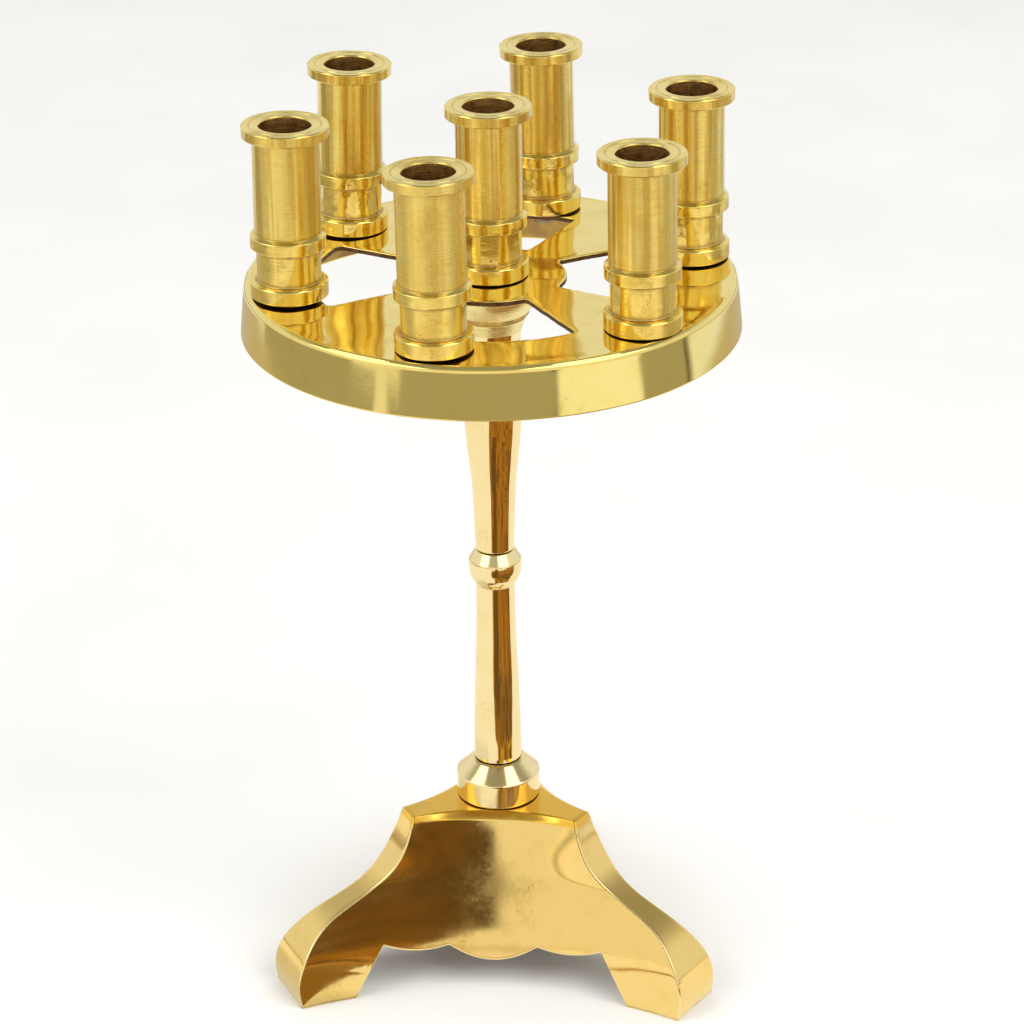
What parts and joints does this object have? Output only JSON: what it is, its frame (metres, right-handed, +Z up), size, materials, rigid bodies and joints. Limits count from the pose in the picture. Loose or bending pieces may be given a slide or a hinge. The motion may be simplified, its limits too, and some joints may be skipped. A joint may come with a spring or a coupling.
{
  "type": "candle stand",
  "caption": "Brass table stand for thin candles: turned sockets in a ring round a central one, on a pierced round plate, slender column and hollow three-legged foot.",
  "frame": {"origin": "on the floor, under the middle of the column", "axes": "+Z up the column; one leg of the foot points along +Y, so a concave panel faces -Y"},
  "size_m": [0.1226, 0.1226, 0.2322],
  "materials": {
    "polished_brass": "polished, nearly a mirror, with fine polishing lines",
    "satin_brass": "satin, with fine turning lines",
    "cast_brass": "cast and polished on the outside, rough inside",
    "steel": "plain zinc-plated fasteners"
  },
  "bodies": {
    "stand": {"foot": "cast_brass", "foot_washer": "steel", "foot_nut": "steel", "tie_rod": "steel", "column_collar": "polished_brass", "lower_column": "polished_brass", "upper_column": "polished_brass", "plate": "polished_brass", "socket_centre": "satin_brass", "spacer_centre": "steel"},
    "right_socket": {"socket_right": "satin_brass", "spacer_right": "steel", "screw_right": "steel"},
    "back_right_socket": {"socket_back_right": "satin_brass", "spacer_back_right": "steel", "screw_back_right": "steel"},
    "back_left_socket": {"socket_back_left": "satin_brass", "spacer_back_left": "steel", "screw_back_left": "steel"},
    "left_socket": {"socket_left": "satin_brass", "spacer_left": "steel", "screw_left": "steel"},
    "front_left_socket": {"socket_front_left": "satin_brass", "spacer_front_left": "steel", "screw_front_left": "steel"},
    "front_right_socket": {"socket_front_right": "satin_brass", "spacer_front_right": "steel", "screw_front_right": "steel"}
  },
  "joints": [
    {"name": "right_socket_turn", "type": "hinge", "parent": "stand", "child": "right_socket", "pos_m": [0.04834, 0.01496, 0.18905], "axis": [-0.007, 0, 1], "continuous": true},
    {"name": "back_right_socket_turn", "type": "hinge", "parent": "stand", "child": "back_right_socket", "pos_m": [0.00984, 0.04882, 0.1891], "axis": [-0.014, 0, 0.9999], "continuous": true},
    {"name": "back_left_socket_turn", "type": "hinge", "parent": "stand", "child": "back_left_socket", "pos_m": [-0.03791, 0.03136, 0.18914], "axis": [0.0209, 0, 0.9998], "continuous": true},
    {"name": "left_socket_turn", "type": "hinge", "parent": "stand", "child": "left_socket", "pos_m": [-0.04694, -0.01662, 0.18907], "axis": [0.0105, 0, 0.9999], "continuous": true},
    {"name": "front_left_socket_turn", "type": "hinge", "parent": "stand", "child": "front_left_socket", "pos_m": [-0.00903, -0.04826, 0.18908], "axis": [-0.0122, 0, 0.9999], "continuous": true},
    {"name": "front_right_socket_turn", "type": "hinge", "parent": "stand", "child": "front_right_socket", "pos_m": [0.03846, -0.03319, 0.18906], "axis": [-0.0087, 0, 1], "continuous": true}
  ]
}
